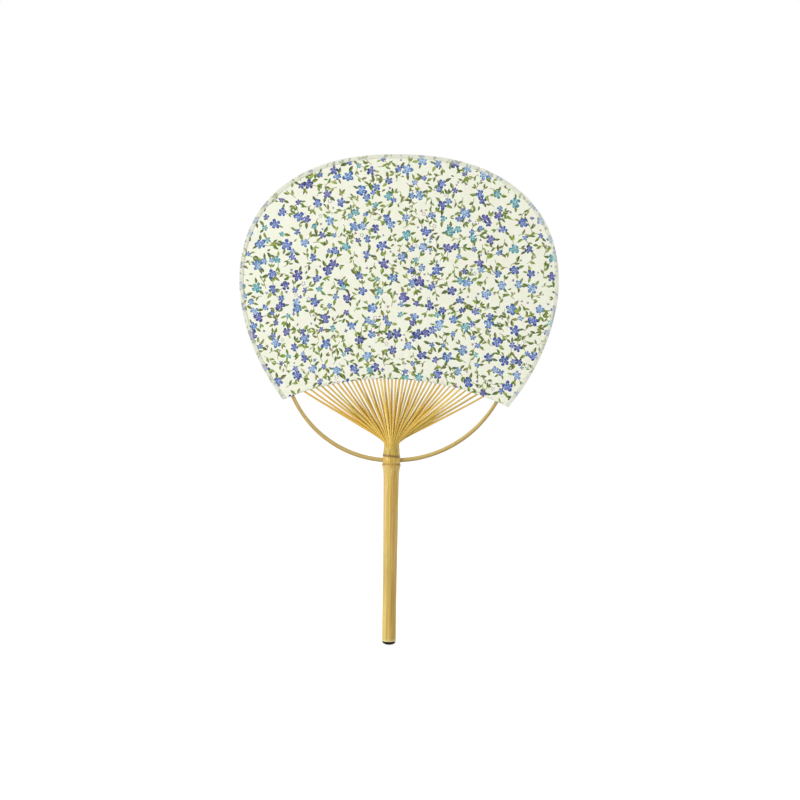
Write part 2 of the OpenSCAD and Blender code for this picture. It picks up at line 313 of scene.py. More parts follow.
def skin(bm, place, around, along, paint=None):
    """A closed tube from a grid: place(u, w) gives the point at a share u round and w along."""
    uv = bm.loops.layers.uv.verify()
    verts = bmesh.ops.create_grid(bm, x_segments=around, y_segments=along, size=1, calc_uvs=True)["verts"]
    faces = {f for v in verts for f in v.link_faces}
    for v in verts:
        v.co = place((v.co.x + 1) / 2, (v.co.y + 1) / 2)
    if paint:
        layer = bm.loops.layers.float_color.verify()
        for f in faces:
            for loop in f.loops:
                loop[layer] = paint(*loop[uv].uv)
    row = around + 1
    rims = (verts[:around], verts[-row:-1])
    seam = {verts[k * row + around]: verts[k * row] for k in range(along + 1)}
    bmesh.ops.weld_verts(bm, targetmap=seam)
    for rim in rims:
        bmesh.ops.contextual_create(bm, geom=rim)


# Materials


class Nodes:
    """Short ways to add nodes to the tree of a material or the world."""

    def __init__(self, owner):
        owner.use_nodes = True
        self.nodes, self.links = owner.node_tree.nodes, owner.node_tree.links

    def add(self, kind, inputs=None, **settings):
        """A node's outputs, its inputs linked or set and its own settings made."""
        node = self.nodes.new("ShaderNode" + kind)
        for key, value in settings.items():
            setattr(node, key, value)
        for key, value in (inputs or {}).items():
            if isinstance(value, bpy.types.NodeSocket):
                self.links.new(value, node.inputs[key])
            else:
                node.inputs[key].default_value = (*srgb(value), 1) if isinstance(value, str) else value
        return node.outputs

    def maths(self, kind, a, b=0.0, c=0.0):
        return self.add("Math", {0: a, 1: b, 2: c}, operation=kind)[0]

    def times(self, a, b, plus=0.0):
        return self.maths("MULTIPLY_ADD", a, b, plus)


class Finish(Nodes):
    """A material with its Principled shader, and short ways to drive it."""

    def __init__(self, name, **constants):
        self.material = bpy.data.materials.new(name)
        super().__init__(self.material)
        self.shader = self.nodes["Principled BSDF"]
        coords = self.add("TexCoord")
        self.place, self.uv = coords["Object"], coords["UV"]
        for key, value in constants.items():
            self.shader.inputs[key.replace("_", " ")].default_value = value

    def painted(self, layer):
        return self.add("Attribute", attribute_name=layer)

    def grain(self, scale, detail=3.0, rough=0.55, twist=0.0, turn=(0, 0, 0), source=None):
        """Noise from 0 to 1. With a scale in three parts it is stretched, and turned too."""
        source = self.place if source is None else source
        if isinstance(scale, tuple):
            source = self.add("Mapping", {"Vector": source, "Scale": scale, "Rotation": turn})[0]
            scale = 1.0
        given = {"Vector": source, "Scale": scale, "Detail": detail, "Roughness": rough, "Distortion": twist}
        return self.add("TexNoise", given)["Fac"]

    def zone(self, value, low, high):
        """0 to 1 from one height to another, both in millimetres over the butt."""
        given = {"Value": value, "From Min": (low - ORIGIN_H) * MM, "From Max": (high - ORIGIN_H) * MM}
        return self.add("MapRange", given)[0]

    def ramp(self, fac, *stops):
        """Colours or greys at places of a factor, evenly blended between them."""
        out = self.add("ValToRGB", {"Fac": fac})[0]
        elements = out.node.color_ramp.elements
        while len(elements) < len(stops):
            elements.new(1)
        for element, (place, colour) in zip(elements, stops):
            element.position = place
            element.color = (*(srgb(colour) if isinstance(colour, str) else (colour,) * 3), 1)
        return out

    def blend(self, fac, a, b, mode="MIX"):
        return self.add("Mix", {0: fac, 6: a, 7: b}, data_type="RGBA", blend_type=mode)[2]

    def shade(self, much, colour, fac, *stops):
        """The colour made darker and lighter by greys at places of a factor."""
        return self.blend(much, colour, self.ramp(fac, *stops), "SOFT_LIGHT")

    def cover(self, colour, over, fac, *stops):
        """A colour with another over it, as much as the greys at places of a factor say."""
        return self.blend(self.ramp(fac, *stops), colour, over)

    def done(self, colour, rough, height, strength, distance):
        """The material, driven by a colour, a roughness if there is one, and a bump."""
        bump = self.add("Bump", {"Height": height, "Strength": strength, "Distance": distance})[0]
        for key, value in (("Base Color", colour), ("Roughness", rough), ("Normal", bump)):
            if value is not None:
                self.links.new(value, self.shader.inputs[key])
        return self.material


def bamboo_skin():
    """The culm: long golden and olive streaks, brown at the ring and the scar, tan on the neck."""
    f = Finish("bamboo_skin", Roughness=0.42, Coat_Weight=0.06, Coat_Roughness=0.35, Specular_IOR_Level=0.32)
    parts = f.add("SeparateXYZ", {"Vector": f.place})
    x, h = parts["X"], parts["Z"]
    tilted = f.times(x, SCAR_SLOPE, h)
    per_width, per_radius = 78.0, 135.0
    broad = f.grain((230, 230, 6))
    hue = f.grain((330, 330, 9), 2.0)
    fine = f.grain((1500, 1500, 20), 4.0, 0.7)
    blotch = f.grain((110, 110, 35), 3.0, 0.6, 0.4)
    drift = f.grain((60, 60, 9), 2.0)
    lines = f.grain((3200, 3200, 11), 2.0, 0.5)
    specks = f.grain((1100, 1100, 420), 2.0, 0.5)

    # Tones of the bare handle, warmer in its upper half, with a painted highlight on the left side and
    # painted shade to the right as well as a slight side-to-side tone
    colour = f.ramp(
        broad, (0.25, "A89446"), (0.42, "C2A650"), (0.52, "CEAE56"), (0.62, "D6B25C"), (0.76, "CCA254")
    )
    hues = f.ramp(hue, (0.36, "ACA04A"), (0.45, "CEB45A"), (0.53, "C69E50"), (0.62, "D8B87C"))
    colour = f.blend(0.5, colour, hues)
    upper = f.ramp(broad, (0.3, "BEA046"), (0.5, "D0AC54"), (0.7, "D0A850"))
    colour = f.blend(f.times(f.zone(h, 70, RING_H), 0.8), colour, upper)
    # Painted light and shade: paler on the left and darker on the right across the handle, along with a
    # slight side-to-side tone of the bamboo
    across = f.times(x, per_width, 0.5)
    colour = f.blend(0.36, colour, f.ramp(across, (0.06, "DAC692"), (0.4, "D0B262"), (1, "AA924A")))
    amber = f.times(f.times(drift, 0.006, x), per_width, 0.27)
    colour = f.cover(colour, "C6964A", amber, (0.5, 0), (0.62, 0.45), (0.7, 0.45), (0.82, 0))
    colour = f.cover(colour, "B8763C", blotch, (0.62, 0), (0.78, 0.28))

    # The band between ring and scar, and the neck
    golden = f.ramp(broad, (0.3, "C2A04A"), (0.55, "D2B058"), (0.75, "DABA62"))
    band = f.zone(h, RING_H + 0.2, RING_H + 6.2)
    colour = f.cover(colour, golden, band, (0, 0), (0.08, 0.95), (0.8, 0.85), (1, 0))
    olive = f.ramp(broad, (0.25, "A28E40"), (0.5, "C2A64C"), (0.75, "CEB256"))
    neck = f.zone(tilted, SCAR_H, SPLIT_H + 2)
    colour = f.cover(colour, olive, neck, (0, 0), (0.03, 0.9), (0.5, 0.7), (1, 0.3))

    # Fibres and specks
    colour = f.shade(0.8, colour, fine, (0.4, 0.22), (0.5, 0.5), (0.6, 0.78))
    colour = f.cover(colour, "A4863F", lines, (0.53, 0), (0.66, 0.4))
    colour = f.cover(colour, "8A6C36", specks, (0.67, 0), (0.73, 0.4))

    # The ring's brown crest, with painted shade towards its left and right sides, the bloom below it, the
    # scar and the worn edge of the butt
    crest = f.zone(h, RING_H - 1.2, RING_H + 1.6)
    ring = f.ramp(crest, (0, 0), (0.36, 0.25), (0.5, 0.85), (0.68, 0.7), (1, 0))
    # Painted shade: the ring's brown grows stronger towards the culm's left and right sides
    outer = f.ramp(f.times(f.maths("ABSOLUTE", x), per_radius), (0.3, 0.55), (0.9, 1))
    brown = f.ramp(fine, (0.35, "806428"), (0.65, "A2823C"))
    colour = f.blend(f.times(ring, outer), colour, brown)
    bloom = f.zone(h, RING_H - 7.5, RING_H - 0.8)
    colour = f.cover(colour, "DAC474", bloom, (0, 0), (0.55, 0.3), (0.9, 0.12), (1, 0))
    scar = f.zone(tilted, SCAR_H - 1.2, SCAR_H + 1.6)
    bark = f.ramp(fine, (0.35, "6C5426"), (0.7, "9C7A3E"))
    colour = f.cover(colour, bark, scar, (0, 0), (0.3, 0.85), (0.6, 0.95), (0.85, 0.35), (1, 0))
    butt = f.zone(h, CUT_H - 0.2, CUT_H + 3.4)
    worn = f.ramp(butt, (0, 0.95), (0.45, 0.85), (0.75, 0.3), (1, 0))
    worn = f.times(worn, f.ramp(blotch, (0.25, 0.5), (0.6, 1)))
    colour = f.blend(worn, colour, "DED39C")
    return f.done(colour, f.ramp(fine, (0.3, 0.36), (0.7, 0.52)), f.blend(0.35, fine, lines), 0.35, 0.00008)


def bamboo_ribs():
    """Split ribs: each has a tone of its own, with fibres along it."""
    f = Finish("bamboo_ribs", Roughness=0.5, Specular_IOR_Level=0.3)
    tone = f.painted("tone")
    parts = f.add("SeparateXYZ", {"Vector": f.uv})
    across = f.times(tone["Alpha"], 900.0, f.times(parts["X"], 26.0))
    strand = f.add("CombineXYZ", {"X": across, "Y": f.times(parts["Y"], 14.0)})[0]
    fibre = f.grain(1.0, 4.0, 0.7, source=strand)
    colour = f.shade(0.5, tone["Color"], fibre, (0.38, 0.2), (0.5, 0.5), (0.62, 0.78))
    colour = f.cover(colour, "CE9E46", f.grain(160.0), (0.5, 0), (0.8, 0.3))
    return f.done(colour, f.ramp(fibre, (0.3, 0.42), (0.7, 0.6)), fibre, 0.3, 0.00005)


def bow_bamboo():
    """The bow: paler along its top as a painted highlight and browner along its underside as painted shade.
    """
    f = Finish("bow_bamboo", Roughness=0.45, Coat_Weight=0.05, Coat_Roughness=0.4, Specular_IOR_Level=0.32)
    fibre = f.grain((26, 30, 1), 4.0, 0.7, source=f.uv)
    patch = f.grain((2, 22, 1), 3.0, 0.6, source=f.uv)
    colour = f.cover(f.painted("tone")["Color"], "BEA25C", patch, (0.35, 0), (0.7, 0.5))
    colour = f.shade(0.5, colour, fibre, (0.38, 0.22), (0.5, 0.5), (0.62, 0.76))
    return f.done(colour, f.ramp(fibre, (0.3, 0.38), (0.7, 0.56)), fibre, 0.25, 0.00006)


def weave_pattern(f, pitch):
    """The over and under of a plain weave in the plane of the face."""
    parts = f.add("SeparateXYZ", {"Vector": f.place})
    across, up = (f.maths("SINE", f.times(parts[k], pi / pitch)) for k in "XZ")
    return f.times(f.times(across, up), 0.5, 0.5)


def printed_cotton():
    """Fine plain weave, printed on an ivory ground."""
    f = Finish("printed_cotton", Roughness=0.88, Sheen_Weight=0.08, Sheen_Roughness=0.5)
    ink = f.painted("print")
    weave = weave_pattern(f, 0.00042)
    threads = f.blend(0.5, f.grain((900, 900, 160), 2.0, 0.6), f.grain((160, 900, 900), 2.0, 0.6))
    mottle = f.grain(280.0, 3.0, 0.65)
    patch = f.grain(55.0, 3.0, 0.6)
    ground = f.cover("F3EADD", "E9F0D8", mottle, (0.3, 0), (0.62, 1))
    ground = f.cover(ground, "F1F2E6", patch, (0.35, 0), (0.7, 0.5))
    colour = f.blend(ink["Alpha"], ground, ink["Color"])
    colour = f.shade(0.6, colour, threads, (0.36, 0.32), (0.64, 0.68))
    colour = f.shade(0.4, colour, weave, (0, 0.3), (1, 0.7))
    return f.done(colour, None, f.blend(0.4, weave, threads), 0.4, 0.00008)


def fibre_paper():
    """Hand-made ivory paper, long fibres in it, warmer where a rib lies under it."""
    f = Finish("fibre_paper", Roughness=0.8)
    tint = f.painted("print")
    cloud = f.grain(70.0, 4.0, 0.6)
    strands = f.grain((900, 900, 90), 2.0, 0.5, 1.2, (0, 0.5, 0))
    crossed = f.grain((90, 900, 900), 2.0, 0.5, 1.2, (0, 0.9, 0))
    colour = f.cover("EFE9D8", "F5F0E2", cloud, (0.3, 0), (0.7, 1))
    colour = f.cover(colour, "FBF8EE", strands, (0.64, 0), (0.72, 0.5))
    colour = f.cover(colour, "DDD3BB", crossed, (0.66, 0), (0.74, 0.4))
    colour = f.blend(tint["Alpha"], colour, tint["Color"])
    return f.done(colour, None, f.blend(0.5, strands, cloud), 0.35, 0.00008)


def rim_paper():
    """The rim tape: thin pale paper, the print showing faintly through it."""
    f = Finish("rim_paper", Roughness=0.62, Coat_Weight=0.1, Coat_Roughness=0.4)
    under = f.painted("print")
    cloud = f.grain(160.0, 4.0, 0.6)
    fibre = f.grain((700, 700, 1100), 3.0, 0.6, 1.0)
    colour = f.cover("D6D9C6", "E4E5D4", cloud, (0.3, 0), (0.7, 1))
    colour = f.blend(under["Alpha"], colour, under["Color"])
    colour = f.cover(colour, "F6F5EC", fibre, (0.6, 0), (0.75, 0.4))
    return f.done(colour, None, f.blend(0.5, fibre, cloud), 0.3, 0.00006)


def twisted_thread():
    """Undyed cotton thread, its strands wound round each other."""
    f = Finish("twisted_thread", Roughness=0.8, Sheen_Weight=0.1)
    given = {"Vector": f.place, "Scale": 900.0, "Distortion": 1.5, "Detail": 2.0}
    strand = f.add("TexWave", given)["Fac"]
    colour = f.cover("D8D2BE", "F1EDDD", strand, (0.2, 0), (0.8, 1))
    colour = f.shade(0.3, colour, f.grain(2500.0), (0.3, 0.3), (0.7, 0.7))
    return f.done(colour, None, strand, 0.4, 0.0001)


def plug_wood():
    """Plain wood, its year rings round the fan's long axis."""
    f = Finish("plug_wood", Roughness=0.6)
    given = {"Vector": f.place, "Scale": 260.0, "Distortion": 4.0, "Detail": 3.0}
    rings = f.add("TexWave", given, wave_type="RINGS", rings_direction="Z")["Fac"]
    grain = f.grain((900, 900, 30))
    colour = f.shade(0.4, f.blend(rings, "A98755", "C6A878"), grain, (0.3, 0.3), (0.7, 0.7))
    return f.done(colour, None, grain, 0.3, 0.0001)


def black_lacquer():
    """Hand-laid lacquer: nearly black, a little dusty and slightly uneven."""
    f = Finish("black_lacquer", Roughness=0.3, Coat_Weight=0.03, Coat_Roughness=0.1, Specular_IOR_Level=0.06)
    dust = f.grain(1800.0, 4.0, 0.7)
    colour = f.ramp(dust, (0.45, "080605"), (0.72, "14100D"), (0.84, "3A322B"))
    return f.done(colour, f.ramp(dust, (0.3, 0.14), (0.75, 0.42)), f.grain(260.0, 2.0), 0.35, 0.0002)


# Culm: handle, node and neck


def neck_radius(h):
    low = SCAR_H + SCAR_R * sin(radians(SCAR_TILT)) + SCAR_LEN
    return NECK_R + (SEAT_R - NECK_R) * max(0.0, (SPLIT_H - h) / (SPLIT_H - low)) ** 2


def culm_radius(h):
    """Radius of the culm by height, with the sheath scar level."""
    if h < GRIP_START:
        drop = min(1.0, (GRIP_START - h) / BUTT_ROUND)
        return GRIP_R - BUTT_DRAW * (1 - sqrt(1 - drop * drop))
    if h < GRIP_END:
        return GRIP_R
    if h < FLARE_START:
        return mix(GRIP_R, SHAFT_R, (h - GRIP_END) / (FLARE_START - GRIP_END))
    if h < RING_H:
        return SHAFT_R + (RING_R - SHAFT_R) * ((h - FLARE_START) / FLARE_LEN) ** 3
    band_low, band_high = RING_H + GROOVE_LEN, SCAR_H - SCAR_LEN
    low_r = BAND_R - GROOVE_DEPTH
    if h < band_low:
        return mix(RING_R, low_r, smooth((h - RING_H) / GROOVE_LEN))
    if h < band_high:
        s = (h - band_low) / (band_high - band_low)
        return low_r + GROOVE_DEPTH * sin(pi * s) - (low_r - SEAT_R - 0.12) * s * s
    lip = math.exp(-(((h - SCAR_H) / (SCAR_LEN * 0.45)) ** 2))
    return neck_radius(h) + 0.02 + (SCAR_R - neck_radius(h)) * lip * (0.75 if h > SCAR_H else 1.0)


def culm_heights():
    """Heights of the culm's rings of points, close together at the butt and the node."""
    heights = [CUT_H]
    for stop, step in CULM_STEPS:
        while heights[-1] < stop:
            heights.append(heights[-1] + step)
    heights[-1] = SPLIT_H
    return heights


def build_culm(material):
    heights = culm_heights()

    def place(u, w):
        turn = tau * u
        c, s = cos(turn), sin(turn)
        h = heights[round(w * (len(heights) - 1))]
        r = culm_radius(h)
        near_node = smooth(1 - abs(h - SCAR_H) / 5)
        r += 0.05 * wander(c * 1.2, s * 1.2, h * 0.02) + 0.02 * wander(c * 5, s * 5, h * 0.05)
        r += near_node * 0.05 * wander(c * 3, s * 3, h * 0.4)
        r *= 1 + CULM_OVAL * smooth((h - GRIP_END) / 30) * cos(2 * turn)
        if h > CLEFT_H:
            r -= CLEFT_DEPTH * smooth((h - CLEFT_H) / 6.5)
        x, y = r * c, r * s
        shown_h = h - x * SCAR_SLOPE * smooth(1 - abs(h - SCAR_H) / 4.5)
        away = math.hypot(y, shown_h - BOW_H)
        if away < HOLE_R + HOLE_ROUND:
            x -= copysign(HOLE_DEPTH * smooth((HOLE_R + HOLE_ROUND - away) / 0.5), x)
        return at(x, y, shown_h)

    bm = bmesh.new()
    skin(bm, place, CULM_SIDES, len(heights) - 1)
    finish_mesh(bm, "culm", "bamboo", material, "split_culm")


# Ribs


def between(steps, s):
    """The value at s in a rising list of places and values."""
    for (low, a), (high, b) in zip(steps, steps[1:]):
        if s < high:
            return mix(a, b, (s - low) / (high - low))
    return steps[-1][1]


def rib_path(i):
    """Points of a rib and how flat it lies at each, then its axes on the neck and in the fan."""
    side, turn = (-1, 1)[i % 2], rib_turn(i)
    entry, heading = RIB_LINES[i]
    end = rib_end(i, -RIB_SHORT)
    outward = Vector((sin(turn), side * cos(turn), 0))
    tangent = Vector((cos(turn), -side * sin(turn), 0))
    flat_out = Vector((0, side, 0))
    flat_across = Vector((heading.y, 0, -heading.x))
    points = []

    # On the neck, from uneven ends that sink into it
    low_h, top_h = SPLIT_H - SPLIT_LEN + 1.4 * wander(i * 3.7, 2.0), SPLIT_H - 1.6
    for k in range(NECK_POINTS):
        h = mix(low_h, top_h, k / (NECK_POINTS - 1))
        r = neck_radius(h) - 0.46 - 0.09 * smooth(1 - k / 3)
        points.append((Vector((outward.x * r, outward.y * r, h)), 0.0))

    # In a curve from the neck to where the sheets begin
    start = points[-1][0]
    goal = Vector((entry.x, 0, entry.y))
    way = Vector((heading.x, 0, heading.y))
    a, b = start + Vector((0, 0, 4.5)) + way * 0.8, goal - way * 26
    b.y = start.y * 0.22
    for k in range(1, BARE_POINTS + 1):
        t = (k / BARE_POINTS) ** 1.2
        p = start * (1 - t) ** 3 + a * 3 * t * (1 - t) ** 2 + b * 3 * t * t * (1 - t) + goal * t**3
        points.append((p, smooth(min(1.0, t * 1.6))))

    # Straight on between the sheets
    length = (end - entry).length
    for k in range(1, SHEET_POINTS + 1):
        q = entry + heading * length * k / SHEET_POINTS
        points.append((Vector((q.x, 0, q.y)), 1.0))
    return points, (outward, tangent), (flat_out, flat_across)


def build_ribs(material):
    bm = bmesh.new()
    bm.loops.layers.float_color.new("tone")
    for i in range(RIB_COUNT):
        points, (outward, tangent), (flat_out, flat_across) = rib_path(i)
        wide, phase = uniform(0.86, 1.14), uniform(0, 50)
        lean = uniform(-0.4, 0.4)
        base = srgb(choice(RIB_TONES)) * uniform(0.84, 1.06)
        # A darker copy of the rib's tone, used as painted shade along its sides
        dark = Vector((base.x * 0.82, base.y * 0.8, base.z * 0.62))
        length = [0.0]
        for (p, _), (q, _) in zip(points, points[1:]):
            length.append(length[-1] + (q - p).length)
        bare = length[NECK_POINTS + BARE_POINTS - 1]

        def place(u, w):
            k = round(w * (len(points) - 1))
            p, flat = points[k]
            across = tangent.lerp(flat_across, flat).normalized()
            out = outward.lerp(flat_out, flat).normalized()
            s = length[k]
            width = between(RIB_WIDTHS, s) * mix(1.0, wide, smooth(s / 14))
            thick = mix(0.95, RIB_T * 0.9, smooth(s / 20))
            shift = lean * sin(pi * min(1.0, s / bare)) + 0.05 * wander(s * 0.1, phase)
            turn = tau * (u + 0.5 / RIB_SIDES)
            c, d = cos(turn), sin(turn)
            x = copysign(abs(c) ** RIB_CORNER, c) * width / 2 + shift
            y = copysign(abs(d) ** RIB_CORNER, d) * thick / 2
            q = p + across * x + out * y
            return at(q.x, q.y, q.z)

        def paint(u, w):
            k = w * (len(points) - 1)
            # Painted shade along the rib's two sides, where neighbouring ribs shade each other
            colour = base.lerp(dark, 0.5 * abs(cos(tau * u)) ** 6)
            colour = colour.lerp(srgb("C2A74C"), 0.8 * smooth(1 - k / 8))
            colour = colour.lerp(srgb("C9B062"), 0.3 * smooth((k - 9) / 8))
            return (*colour, i / RIB_COUNT)

        skin(bm, place, RIB_SIDES, len(points) - 1, paint=paint)
    finish_mesh(bm, "ribs", "bamboo", material)


# Bow


def build_bow(material):
    halves = {}
    for side, x in ((-1, LASH_LEFT), (1, LASH_RIGHT)):
        run = x - BOW_FLAT
        rise = arc_height(edge_arc(side > 0, WEAVE_INSET), side * x) - BOW_H
        r = (run * run + rise * rise) / (2 * rise)
        halves[side] = (r, atan2(run, r - rise) + BOW_TAIL / r)
    left, right = (math.prod(halves[side]) for side in (-1, 1))
    total = left + right
    tongue = BOW_TAIL + WEAVE_INSET + ENTRY_CLEAR

    def place(u, w):
        s = -left + w * total
        side = -1 if s < 0 else 1
        r, end = halves[side]
        angle = abs(s) / r
        middle = Vector((side * (BOW_FLAT + r * sin(angle)), 0, BOW_H + r * (1 - cos(angle))))
        up = Vector((-side * sin(angle), 0, cos(angle)))
        from_end = end * r - abs(s)
        half_w = mix(BOW_END_R, BOW_R, min(1.0, from_end / 60)) * (1 + 0.05 * wander(s * 0.05, 4.0))
        half_d = mix(TONGUE_T / 2, half_w * 0.96, smooth((from_end - tongue) / SHAVE_LEN))
        wave = 0.12 * wander(s * 0.03, 9.0) * smooth(from_end / 20)
        turn = tau * u
        c, d = cos(turn), sin(turn)
        q = middle + up * (half_w * c + wave) + Vector((0, half_d * d, 0))
        return at(q.x, q.y, q.z)

    def paint(u, w):
        # Painted highlight along the bow's top and painted shade along its underside
        up = 0.5 + 0.5 * cos(tau * u)
        colour = srgb("A88A4E").lerp(srgb("C8B26E"), smooth(up * 1.3))
        from_end = min(w * total, (1 - w) * total)
        # Painted shade: darker brown where the bow goes in under the sheets' lower edge
        return (*colour.lerp(srgb("6F5A34"), 0.25 * smooth(1 - (from_end - tongue) / 1.5)), 1)

    bm = bmesh.new()
    bm.loops.layers.float_color.new("tone")
    skin(bm, place, BOW_SIDES, BOW_STEPS, paint=paint)
    finish_mesh(bm, "bow_rod", "bow_bamboo", material, "bow")


# Print: small flowers, buds and leaf sprigs, scattered in a seeded layout

# Flowers: edge, body, light and dark, with how often each set comes. Others: pale and dark
FLOWER_INKS = [
    ("2C3674", "4E5CA0", "929CCC", "1C2250"),
    ("34498E", "5E75B4", "A0B2DA", "202F68"),
    ("325894", "6084BA", "A9C2E0", "1F3A6E"),
    ("4870A4", "82A3CA", "C2D5E8", "2E5080"),
    ("3A7C8E", "68A9B3", "ABD6D2", "265866"),
    ("3A3C7E", "585C9E", "969AC8", "222252"),
]
FLOWER_SHARES = [20, 26, 23, 17, 12, 8]
LEAF_INKS = [("92AE46", "3F5226"), ("A2B854", "52682A"), ("84A03E", "364624")]
LEAF_INKS += [("AEBA62", "5C7634"), ("76903E", "344224"), ("9A9C4E", "4C502C")]
BUD_INKS = [("A086A2", "6E5682"), ("B4909A", "7E5664")]
COOL_INKS = [("9292C0", "5C5E96"), ("96A09C", "5E6C68"), ("C2A0AC", "8C6072")]
STEM_INKS = ["7C7A48", "6E7440", "8E7654", "5E5C3A"]


class Print:
    """Inked shapes in painting order. Each has an outline and a colour that changes from a point outwards."""

    def __init__(self):
        self.shapes = []
        self.taken = []

    def ink(self, outline, inner, outer, centre, size):
        self.shapes.append((outline, inner, outer, centre, size))

    def free(self, p, r):
        return all((p - q).length > r + s for q, s in self.taken)

    def colour(self, index, p):
        _, inner, outer, centre, size = self.shapes[index]
        t = smooth((p - centre).length / size)
        patch = 1 + 0.16 * wander(p.x * 0.9, p.y * 0.9, index * 0.37)
        return inner.lerp(outer, t) * patch


def heading_of(angle):
    return Vector((cos(angle), sin(angle)))


def teardrop(base, angle, length, width, count=8, full=0.65):
    """A petal or bud: narrow at its base and round at its tip."""
    along, across = heading_of(angle), heading_of(angle + pi / 2)
    points = []
    for k in range(count):
        a = tau * (k + 0.5) / count
        s = 0.5 - 0.5 * cos(a)
        points.append(base + along * length * s + across * width / 2 * sin(a) * (1 - full + full * s))
    return points


def blade(base, angle, length, width, bend, side=0):
    """A leaf with pointed ends, bent sideways, or one half of it."""
    along, across = heading_of(angle), heading_of(angle + pi / 2)

    def point(s, edge):
        half = width / 2 * sin(pi * s**0.85) ** 0.9
        return base + along * length * s + across * (bend * length * s * (1 - s) * 2 + edge * half)

    steps = [0.0, 0.26, 0.52, 0.78, 1.0]
    out, back = (0, side) if side else (1, -1)
    return [point(s, out) for s in steps] + [point(s, back) for s in steps[-2:0:-1]]


def chance(share):
    return random.random() < share


def ragged(outline, much):
    """The outline with each point moved a little, as a print's soft edges are."""
    return [p + Vector((uniform(-much, much), uniform(-much, much))) for p in outline]


def draw_flower(sheet, p, r, inks, petals=5):
    """Uneven petals with pale and dark touches, over a star and round a pale eye."""
    edge, body, light, dark = (srgb(c) * uniform(0.94, 1.2) for c in inks)
    turn = uniform(0, tau)
    squash = uniform(0.84, 1.0)
    star = [p + heading_of(turn + k * pi / petals) * r * (0.6, 0.44)[k % 2] for k in range(2 * petals)]
    sheet.ink(star, edge, dark, p, r * 0.7)
    for k in range(petals):
        angle = turn + (k + uniform(-0.14, 0.14)) * tau / petals
        length = r * uniform(0.88, 1.1) * (squash if k % 2 else 1)
        base = p + heading_of(angle) * r * 0.08
        width = length * uniform(0.92, 1.14)
        mid = body.lerp(light, uniform(0.0, 0.5)) if chance(0.6) else body.lerp(edge, 0.4)
        sheet.ink(ragged(teardrop(base, angle, length, width), r * 0.07), mid, edge, p, r)
        if r < 1.7:
            continue
        start = p + heading_of(angle) * r * uniform(0.15, 0.35)
        twist = uniform(-0.4, 0.4)
        sheet.ink(teardrop(start, angle + twist, length * 0.6, width * 0.5, 6), light, mid, p, r * 0.9)
        if chance(0.6):
            tip = p + heading_of(angle + uniform(-0.4, 0.4)) * length * uniform(0.4, 0.66)
            sheet.ink(teardrop(tip, angle, length * 0.36, length * 0.34, 4, 0.2), dark, edge, tip, r * 0.4)
    middle = p - heading_of(turn) * r * 0.16
    sheet.ink(teardrop(middle, turn, r * 0.32, r * 0.3, 6, 0.1), light, srgb("E9E6C0"), p, r * 0.3)
    dot = p - heading_of(turn) * r * 0.07
    sheet.ink(teardrop(dot, turn, r * 0.14, r * 0.13, 5, 0.1), dark, dark, p, r)


def draw_leaf(sheet, base, angle, length):
    """A leaf, most often with one half in shade."""
    pale, dark = (srgb(c) * uniform(0.88, 1.12) for c in choice(LEAF_INKS))
    width, bend = length * uniform(0.36, 0.48), uniform(-0.22, 0.22)
    sheet.ink(ragged(blade(base, angle, length, width, bend), length * 0.02), pale, dark, base, length * 1.4)
    if chance(0.75):
        side = choice((-1, 1))
        sheet.ink(blade(base, angle, length, width, bend, side), dark.lerp(pale, 0.3), dark, base, length)


def draw_stem(sheet, start, angle, length, bend):
    """A thin bent line. Returns its points, with the way it heads at each."""
    ink = srgb(choice(STEM_INKS))
    spine, p = [], start.copy()
    steps, width = 3, 0.4
    for k in range(steps + 1):
        spine.append((p.copy(), angle))
        angle += bend / steps
        p += heading_of(angle) * length / steps
    outline = [q + heading_of(a + pi / 2) * width / 2 for q, a in spine]
    outline += [q - heading_of(a + pi / 2) * width / 2 for q, a in reversed(spine)]
    sheet.ink(outline, ink, ink * 0.85, start, length)
    return spine


def draw_bud(sheet, p, angle, r):
    pale, dark = (srgb(c) * uniform(0.92, 1.1) for c in choice(BUD_INKS + COOL_INKS))
    for k in (-1, 1, 0):
        sheet.ink(teardrop(p, angle + k * 0.6, r * 1.6, r * 0.95, 6), dark, pale, p, r * 1.4)
    sheet.ink(teardrop(p - heading_of(angle) * r * 0.3, angle, r * 0.7, r * 0.6, 5, 0.2), dark, dark, p, r)


def draw_ring_flower(sheet, p, r):
    """A small flower of separate dots round an empty middle."""
    pale, dark = (srgb(c) for c in choice(COOL_INKS))
    turn = uniform(0, 6)
    for k in range(5):
        angle = turn + k * tau / 5
        q = p + heading_of(angle) * r * 0.45
        sheet.ink(teardrop(q, angle, r * 0.62, r * 0.6, 6, 0.2), pale, dark, q, r * 0.6)


def draw_sprig(sheet, p, angle, size):
    """A bent stem with leaves on both sides, and a bud or a leaf at its tip."""
    start = p - heading_of(angle) * size / 2
    spine = draw_stem(sheet, start, angle, size, uniform(-0.9, 0.9))
    side = choice((-1, 1))
    for q, way in spine[1:-1]:
        side = -side
        draw_leaf(sheet, q, way + side * uniform(0.5, 0.9), size * uniform(0.5, 0.64))
    q, way = spine[-1]
    if chance(0.4):
        draw_bud(sheet, q, way, uniform(0.75, 1.0))
    else:
        draw_leaf(sheet, q, way, size * uniform(0.5, 0.6))


def scatter(sheet, r, tries, margin):
    """Free places on the face for shapes of radius r, one after another."""
    for _ in range(tries):
        p = Vector((uniform(FACE_X - 126, FACE_X + 126), uniform(185, 382)))
        if oval_reach(p.x, p.y, 2) < 1 and p.y > edge_height(p.x, -2) and sheet.free(p, r + margin):
            yield p


def draw_tuft(sheet, base, angle, size, count):
    """Leaves that fan out from one point."""
    for k in range(count):
        way = angle + (k - (count - 1) / 2) * uniform(0.6, 0.95)
        draw_leaf(sheet, base, way, size * uniform(0.8, 1.1))


